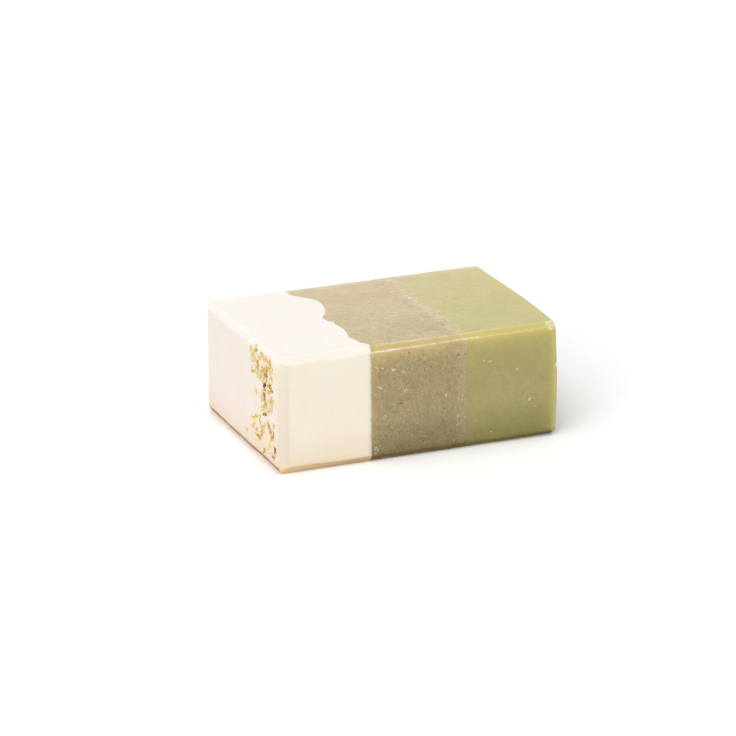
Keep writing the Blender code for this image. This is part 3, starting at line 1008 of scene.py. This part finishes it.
def tinted(made, glow, edge, foot):
    """Painted glow in the planed edges and beside them: deeper colour that stands in for light that gets in
    from two sides, partly the fresh colour of the planed soap. At the foot it is painted shade and
    brown reflected light, and along the back edge of the top painted light.
    """
    wave = made.patches(0.32, 3, 0.25, 0.65, 0.85, 1.0)
    for kind in ("top", "side"):
        made.lay(made.times(kind + "_glow", wave), made.mix(kind + "_flat", glow, edge))
    # Painted shade and brown reflected light in and beside the foot's planed edges
    made.lay(made.times("foot_glow", wave), foot)
    # Painted light along the back edge of the top
    made.lay("painted_back_light", (0.92, 0.85, 0.72))


def grained(made, grains, on_cut):
    """Ground botanicals in the soap, in patches, drawn out along the cut faces by the wire."""
    dragged = made.dragged(0.12, (0.50, 1.15, 1.0))
    cut = made.value("cut_face")
    crowd = made.patches(0.22, 3, 0.36, 0.62, 0.45, 1.0)
    on_sides = made.times(made.rest(cut), crowd, made.step("top_glow", 0.1, 0.8, 1.0, 0.35))
    for scale, low, high, factor in grains:
        drawn = made.times(made.patches(scale, 4, low, high, vector=dragged), cut, on_cut)
        plain = made.times(made.patches(scale, 4, low, high), on_sides)
        made.shade(made.sums("ADD", drawn, plain), factor)


def waxy(made, rough, bloom, drag_share=0.35):
    """The finished soap: white bloom, satin shine, fine grain and the drag marks of the wire."""
    chalk = bpy.context.scene.soap_colours.chalk
    made.lay(made.times("bloom", made.patches(0.8, 4, 0.38, 0.55, 0.50, 1.0), bloom), chalk)
    torn = made.times("crumbled", made.patches(1.9, 5, 0.47, 0.60))
    made.lay(made.times(torn, 0.55 * bloom), chalk)
    grain = made.cloud(3.2, 5)
    drag = made.cloud(1.0, 4, made.dragged(0.3, (0.10, 1.8, 0.5)))
    made.bump(
        made.sums("ADD", made.times(grain, 0.6), made.times(drag, "cut_face", drag_share)), grain_height, 0.6
    )
    return made.coloured(made.sums("ADD", made.times(grain, 0.24), rough - 0.12))


def cream_finish():
    colours = bpy.context.scene.soap_colours
    made = Finish("cream_soap", colours.cream_side)
    on_side = made.rest("cut_face")
    made.lay("end_face", colours.cream_end)
    made.lay("cut_face", colours.cream_cut)
    made.shade(made.patches(0.13, 3, 0.40, 0.66), (0.995, 0.985, 0.965))
    made.shade(made.patches(0.9, 4, 0.45, 0.70), (0.99, 0.985, 0.965))
    # Painted shade: darker and warmer towards the foot
    made.shade(made.step("height", 0.0, 0.40, 1.0, 0.0), (0.94, 0.89, 0.82))
    off = made.sums("ADD", "from_right", made.times(made.cloud(0.7, 3), 0.8))
    made.shade(made.times(made.step(off, 0.9, 1.6, 1.0, 0.0), on_side), (0.90, 0.89, 0.91))
    made.lay(made.times(made.step(off, 0.50, 0.80, 0.75, 0.0), on_side), (0.52, 0.44, 0.26))
    # Painted glow in the upright edge, partly its fresh planed colour, and painted shade darker towards its
    # foot
    upright = made.times("side_glow", made.patches(0.32, 3, 0.25, 0.65, 0.85, 1.0))
    made.lay(upright, colours.cream_edge)
    lower = made.times("side_flat", made.step("height", 0.1, 0.9, 1.0, 0.15))
    made.shade(lower, (0.95, 0.92, 0.90))
    made.lay("top_flat", colours.cream_rim)
    # Painted light: the steep edge above the petals is coloured towards the lit top
    made.lay("rim_flat", colours.cream_high_painted_light)
    # Painted shade and brown reflected light beside and in the foot's planed edges, darkest on the petal
    # end's foot and paler away from the border
    made.lay("foot_glow", (0.86, 0.71, 0.50))
    made.lay("foot_flat", made.mix("end_face", colours.cream_foot_painted_shade, (0.40, 0.215, 0.08)))
    paler_foot_shade = made.times("foot_flat", made.step("from_right", 3.0, 26.0))
    made.shade(paler_foot_shade, (1.25, 1.24, 1.26))
    stained = made.times("stain", made.patches(1.1, 4, 0.28, 0.60, 0.30, 0.95))
    made.lay(stained, (0.95, 0.74, 0.33))
    made.lay(made.times(made.specks(0.50, 0.13, 0.30), 0.25), (0.90, 0.77, 0.52))
    made.wax(0.20, soap_scatter, (1.0, 0.75, 0.5))
    return waxy(made, 0.50, 0.2, 0.25)


def olive_finish():
    colours = bpy.context.scene.soap_colours
    made = Finish("olive_soap", colours.olive_side)
    cut = made.value("cut_face")
    on_side = made.rest(cut)
    made.lay(cut, colours.olive_cut)
    made.shade(made.times(cut, made.step("from_front", 6.0, 50.0)), (1.055, 1.02, 1.02))
    made.shade(made.times(cut, made.step("from_front", 2.0, 26.0, 1.0, 0.0)), (0.955, 0.93, 0.87))
    clear = made.times(made.sums("POWER", 0.45, "from_left"), on_side)
    made.shade(clear, (1.29, 1.245, 1.12))
    blurred(made, "from_right", colours.green_side)
    beside = made.strayed("from_right", 0.5, 1.6)
    strip = made.times(made.step(beside, -0.3, 0.5), made.step(beside, 1.2, 3.6, 1.0, 0.0))
    made.shade(made.times(strip, made.step(cut, 0.0, 1.0, 1.0, 0.45)), (1.12, 1.13, 1.17))
    # Painted shade: the sides darker towards the foot
    made.shade(made.times(made.step("height", 0.0, 0.45, 1.0, 0.0), on_side), (0.60, 0.60, 0.56))
    # Painted glow in and beside the planed edges, painted shade and brown reflected light at the foot,
    # painted light along the back edge of the top
    tinted(made, (0.74, 0.56, 0.245), colours.olive_edge, colours.olive_foot_painted_shade)
    made.shade(made.patches(0.13, 3, 0.38, 0.64), (0.95, 0.95, 0.94))
    grains = (
        (0.55, 0.44, 0.62, (0.90, 0.90, 0.88)),
        (1.0, 0.53, 0.64, (0.84, 0.84, 0.82)),
        (3.0, 0.50, 0.62, (0.78, 0.78, 0.76)),
        (1.4, 0.50, 0.64, (1.19, 1.20, 1.25)),
        (2.4, 0.54, 0.64, (1.13, 1.14, 1.20)),
    )
    rough = made.step("from_right", 2.0, 9.0, 1.1, 0.65)
    grained(made, grains, made.times(rough, made.step("from_front", 6.0, 36.0, 1.0, 0.6)))
    fine = made.times(made.specks(1.15, 0.20, 0.30), made.patches(0.12, 2, 0.38, 0.62, 0.25, 1.0))
    made.lay(made.times(fine, 0.62), (0.14, 0.095, 0.045))
    made.lay(made.times(made.specks(1.9, 0.24, 0.35), 0.32), (0.16, 0.12, 0.06))
    large = made.times(made.specks(0.30, 0.075, 0.45), made.step(cut, 0.0, 1.0, 0.85, 0.35))
    made.lay(large, (0.09, 0.06, 0.03))
    made.lay("smudge", (0.22, 0.17, 0.11))
    dark = made.times(made.marked("dark_mark", 2.2, 0.42, 0.72), made.step(cut, 0.0, 1.0, 0.9, 0.5))
    made.lay(dark, (0.075, 0.055, 0.03))
    near = made.step("from_right", 1.0, 9.0, 0.75, 0.40)
    made.lay(made.times(made.patches(1.7, 3, 0.61, 0.68), near, 0.30), (0.72, 0.65, 0.47))
    made.lay(made.times(made.marked("pale_mark", 2.4, 0.40, 0.72), 0.78), (0.79, 0.74, 0.60))
    smeared(made, "from_right", 0.8, 0.0, (0.63, 0.56, 0.30))
    return waxy(made, 0.52, 1.0)


def blurred(made, off, other):
    """The last millimetre before the border on the sides, where the two soaps ran together."""
    near = made.step(made.strayed(off, 0.6, 0.8), 0.0, 1.1, 0.5, 0.0)
    made.lay(made.times(near, made.rest("cut_face")), other)


def smeared(made, off, in_front, behind, colour):
    """Smears that the wire drew out across the border of two soaps: chalky, and of the other soap."""
    streak = made.patches(1.1, 3, 0.52, 0.66, vector=made.dragged(0.2, (0.22, 0.9, 1.0)))
    reach = made.sums("ADD", off, made.times(made.cloud(0.35, 2), 2.0))
    near = made.step(reach, 1.4, 3.4, 1.0, 0.0)
    made.lay(made.times(streak, near, made.times("cut_face", 0.45)), (0.80, 0.72, 0.56))
    share = made.step("from_front", 24.0, 30.0, in_front, behind)
    made.lay(made.times(made.marked("smeared_over", 0.9, 0.30, 0.60), share), colour)


def green_finish():
    colours = bpy.context.scene.soap_colours
    made = Finish("green_soap", colours.green_side)
    cut = made.value("cut_face")
    made.lay(cut, colours.green_cut)
    made.shade(made.times(cut, made.step("from_front", 0.0, 50.0, 1.0, 0.0)), (0.91, 0.935, 0.84))
    made.shade(made.patches(0.12, 3, 0.38, 0.64), (0.96, 0.96, 0.94))
    made.shade(made.patches(0.5, 4, 0.45, 0.64), (0.96, 0.96, 0.94))
    blurred(made, "from_left", colours.olive_side)
    # Painted shade: the sides darker towards the foot
    low = made.times(made.step("height", 0.0, 0.45, 1.0, 0.0), made.rest(cut))
    made.shade(low, (0.62, 0.62, 0.55))
    # Painted glow in and beside the planed edges, painted shade and brown reflected light at the foot,
    # painted light along the back edge of the top
    tinted(made, (0.68, 0.58, 0.185), colours.green_edge, colours.green_foot_painted_shade)
    grains = (
        (0.7, 0.45, 0.65, (0.95, 0.955, 0.94)),
        (2.2, 0.50, 0.66, (0.92, 0.925, 0.90)),
        (1.2, 0.50, 0.70, (1.06, 1.06, 1.05)),
    )
    grained(made, grains, 0.6)
    made.lay(made.times(made.patches(1.0, 3, 0.68, 0.74), 0.22), (0.76, 0.72, 0.44))
    made.lay(made.times(made.specks(0.40, 0.10, 0.30), 0.25), (0.30, 0.27, 0.10))
    made.lay(made.times(made.marked("dark_mark", 2.2, 0.36, 0.66), 0.5), (0.20, 0.18, 0.06))
    made.lay(made.times(made.marked("pale_mark", 2.4, 0.36, 0.66), 0.80), (0.84, 0.80, 0.57))
    smeared(made, "from_left", 0.0, 0.9, (0.685, 0.55, 0.365))
    made.lay(made.times("crumbled", made.patches(1.3, 4, 0.42, 0.60, 0.3, 1.0)), (0.72, 0.63, 0.30))
    return waxy(made, 0.48, 0.9)


def crumb_finish():
    """Dry crumbs of green soap: almost white, with the green showing through."""
    made = Finish("dry_crumbs", bpy.context.scene.soap_colours.chalk)
    made.lay(made.patches(2.2, 4, 0.46, 0.66, 0.0, 0.35), (0.78, 0.70, 0.38))
    made.shade(made.patches(6.0, 3, 0.5, 0.7), (0.92,) * 3)
    made.bump(made.cloud(5.0, 4), crumb_grain_height)
    return made.coloured(made.patches(3.0, 3, 0.3, 0.7, 0.55, 0.8))


# Colours that each kind of crumb dries through, from straw to its darkest
drying_colours = {
    "golden_petal": (
        (0.00, (0.95, 0.83, 0.50)),
        (0.35, (0.94, 0.68, 0.18)),
        (0.62, (0.90, 0.52, 0.045)),
        (1.00, (0.62, 0.29, 0.015)),
    ),
    "brown_petal": (
        (0.00, (0.90, 0.60, 0.17)),
        (0.35, (0.74, 0.39, 0.04)),
        (0.65, (0.50, 0.20, 0.015)),
        (1.00, (0.12, 0.03, 0.012)),
    ),
    "leaf_crumb": (
        (0.00, (0.95, 0.82, 0.50)),
        (0.40, (0.86, 0.61, 0.15)),
        (0.70, (0.56, 0.38, 0.035)),
        (1.00, (0.24, 0.15, 0.015)),
    ),
}


def petal_finish(name):
    """Dried petal: ribbed and streaked along its length, darker in blotches and at its tips."""
    made = Finish(name)
    streaked = made.scaled(made.place, (1.0, 1.0, 0.5))
    blotch = made.sums("SUBTRACT", made.cloud(1.6, 4, streaked), 0.5)
    ends = made.step(made.sums("ABSOLUTE", "along"), 0.55, 1.0, 0.0, 0.14)
    dryness = made.sums("ADD", "tone", made.times(blotch, 1.25))
    made.ground = made.ramp(made.sums("ADD", dryness, ends, True), drying_colours[name])
    ribs = made.sums("SINE", made.times("across", 9.0))
    made.shade(made.step(ribs, -1.0, 1.0, 0.0, 0.5), (0.92,) * 3)
    made.bump(made.sums("ADD", ribs, made.cloud(5.0, 3)), rib_height, 0.6)
    made.shader.inputs["Specular IOR Level"].default_value = 0.15
    made.wax(0.15, petal_scatter, (1.0, 0.7, 0.2))
    return made.coloured(made.patches(2.0, 3, 0.3, 0.7, 0.5, 0.75))


# Borders


# How far the first border frayed along the bar, from front to back: shares of half the width, metres
first_border_fray = (
    (-1.00, -0.90, -0.86, -0.817, -0.68, -0.63, -0.52, -0.43, -0.314, -0.237, -0.155, -0.125, -0.06)
    + (-0.02, 0.03, 0.09, 0.14, 0.22, 0.33, 0.44, 0.54, 0.61, 0.68, 0.74, 0.78, 0.85, 0.90, 1.00),
    (-0.00025, -0.00025, -0.0004, -0.0010, -0.00015, -0.0004, -0.0001, -0.0002, -0.0004)
    + (-0.0006, 0.0002, -0.0006, -0.0006, -0.00085, -0.00085, -0.00035, -0.0001, 0.0, 0.0)
    + (-0.00025, -0.0001, -0.00025, -0.0010, -0.00085, -0.0010, -0.0005, -0.0003, -0.0001),
)


def first_border(y_places):
    shares = (y_places - bar_middle[1]) / bar_half[1]
    return border_at(y_places, "cream_layer", "olive_layer") + np.interp(shares, *first_border_fray)


def second_border(y_places):
    return border_at(y_places, "olive_layer", "green_layer")


def petal_end_line(y_places):
    return np.full(len(y_places), bar_low[0])


def green_end_line(y_places):
    return np.full(len(y_places), bar_high[0])


# The two borders of each pour and its finish
pours = {
    "cream": (petal_end_line, first_border, cream_finish),
    "olive": (first_border, second_border, olive_finish),
    "green": (second_border, green_end_line, green_finish),
}


# Operators


class SOAP_OT_cream(Operator):
    """Make the cream soap, with the dents of its petals"""

    bl_idname = "soap.cream"
    bl_label = "Cream soap"

    def execute(self, context):
        pour_piece("cream")
        return {"FINISHED"}


class SOAP_OT_olive(Operator):
    """Make the olive soap, with its ground specks"""

    bl_idname = "soap.olive"
    bl_label = "Olive soap"

    def execute(self, context):
        pour_piece("olive")
        return {"FINISHED"}


class SOAP_OT_green(Operator):
    """Make the green soap, with its crumbled corner"""

    bl_idname = "soap.green"
    bl_label = "Green soap"

    def execute(self, context):
        pour_piece("green")
        return {"FINISHED"}


class SOAP_OT_petals(Operator):
    """Make the dried petals that were pressed into the cream soap"""

    bl_idname = "soap.petals"
    bl_label = "Petals"

    def execute(self, context):
        slots = {row["node"]: row["material_slot"] for row in frame["record"]["subparts"]}
        for slot, tones in petal_tones.items():
            finish = petal_finish(slot)
            nodes = [node for node in petal_nodes if slots[node] == slot]
            for node, tone in zip(nodes, tones, strict=True):
                petal_piece(node, petal_nodes.index(node), finish, tone)
        return {"FINISHED"}


class SOAP_OT_crumbs(Operator):
    """Make the pale crumbs at the broken corner"""

    bl_idname = "soap.crumbs"
    bl_label = "Crumbs"

    def execute(self, context):
        crumbs_piece(crumb_finish())
        return {"FINISHED"}


floor_size = 8.0
floor_roughness = 0.9
floor_colour = (0.66, 0.62, 0.56)  # warm and dim for the light that it throws back
lamp_spread = math.radians(50)
# Each lamp's height above the horizon and its turn from the bar's front
overhead_place = (math.radians(72), math.radians(-60))
front_place = (math.radians(24), math.radians(-45))


def white_to_the_eye(tree, plain):
    """A value that is plain for light that lands on things, and white to the camera."""
    path = tree.nodes.new("ShaderNodeLightPath")
    mix = tree.nodes.new("ShaderNodeMix")
    mix.data_type = "RGBA"
    tree.links.new(path.outputs["Is Camera Ray"], mix.inputs["Factor"])
    mix.inputs[6].default_value = (*plain, 1)
    mix.inputs[7].default_value = (1, 1, 1, 1)
    return mix.outputs[2]


def way_out(turn, height):
    """The direction out of the bar at a turn from its front and a height above the horizon."""
    return Vector(
        (math.sin(turn) * math.cos(height), -math.cos(turn) * math.cos(height), math.sin(height))
    )


def lamp(name, strength, height, turn):
    """A broad, soft sun. It stands at a height above the horizon and a turn from the bar's front."""
    light = bpy.data.lights.new(name, "SUN")
    light.energy = strength
    light.angle = lamp_spread
    holder = bpy.data.objects.new(name, light)
    holder.rotation_euler = way_out(turn, height).to_track_quat("Z", "Y").to_euler()
    bpy.context.scene.collection.objects.link(holder)


class SOAP_OT_stage(Operator):
    """Lay the pale floor, light the bar and stand the camera"""

    bl_idname = "soap.stage"
    bl_label = "Stage"

    def execute(self, context):
        scene = context.scene
        stage = scene.soap_stage
        bpy.ops.mesh.primitive_plane_add(size=floor_size)
        floor = context.active_object
        floor.name = "floor"
        paint = bpy.data.materials.new("pale_floor")
        paint.use_nodes = True
        shader = paint.node_tree.nodes["Principled BSDF"]
        shader.inputs["Roughness"].default_value = floor_roughness
        shader.inputs["Specular IOR Level"].default_value = 0.0
        colour = white_to_the_eye(paint.node_tree, floor_colour)
        paint.node_tree.links.new(colour, shader.inputs["Base Color"])
        floor.data.materials.append(paint)

        world = bpy.data.worlds.new("room")
        world.use_nodes = True
        sky = world.node_tree.nodes["Background"]
        colour = white_to_the_eye(world.node_tree, (stage.sky_strength,) * 3)
        world.node_tree.links.new(colour, sky.inputs["Color"])
        scene.world = world
        lamp("overhead_lamp", stage.overhead_strength, *overhead_place)
        lamp("front_lamp", stage.front_strength, *front_place)

        back = way_out(stage.azimuth, stage.elevation)
        right = Vector((math.cos(stage.azimuth), math.sin(stage.azimuth), 0))
        up = back.cross(right)
        tilt = Matrix.Rotation(stage.roll, 3, back)
        right, up = tilt @ right, tilt @ up
        camera = bpy.data.objects.new("camera", bpy.data.cameras.new("camera"))
        camera.data.lens = stage.lens
        camera.data.clip_end = floor_size
        camera.location = stage.distance * back - stage.aim_right * right - stage.aim_up * up
        camera.rotation_euler = Matrix((right, up, back)).transposed().to_euler()
        scene.collection.objects.link(camera)
        scene.camera = camera
        scene.view_settings.view_transform = "Standard"
        return {"FINISHED"}


class SOAP_PT_panel(Panel):
    """Lists the pieces of the soap and their settings"""

    bl_label = "Bar of soap"
    bl_idname = "SOAP_PT_panel"
    bl_space_type = "VIEW_3D"
    bl_region_type = "UI"
    bl_category = "Soap"

    def draw(self, context):
        column = self.layout.column()
        for operator in classes[3:-1]:
            column.operator(operator.bl_idname)
        for settings in (context.scene.soap_bar, context.scene.soap_colours, context.scene.soap_stage):
            for key in settings.bl_rna.properties.keys():
                if key not in ("rna_type", "name"):
                    column.prop(settings, key)


classes = (
    SoapBarSettings,
    SoapColours,
    StageSettings,
    SOAP_OT_cream,
    SOAP_OT_olive,
    SOAP_OT_green,
    SOAP_OT_petals,
    SOAP_OT_crumbs,
    SOAP_OT_stage,
    SOAP_PT_panel,
)


def register():
    for made in classes:
        bpy.utils.register_class(made)
    bpy.types.Scene.soap_bar = PointerProperty(type=SoapBarSettings)
    bpy.types.Scene.soap_colours = PointerProperty(type=SoapColours)
    bpy.types.Scene.soap_stage = PointerProperty(type=StageSettings)


def unregister():
    del bpy.types.Scene.soap_stage
    del bpy.types.Scene.soap_colours
    del bpy.types.Scene.soap_bar
    for made in reversed(classes):
        bpy.utils.unregister_class(made)


def main():
    register()
    bpy.ops.soap.cream()
    bpy.ops.soap.olive()
    bpy.ops.soap.green()
    bpy.ops.soap.petals()
    bpy.ops.soap.crumbs()
    bpy.ops.soap.stage()


if __name__ == "__main__":
    main()
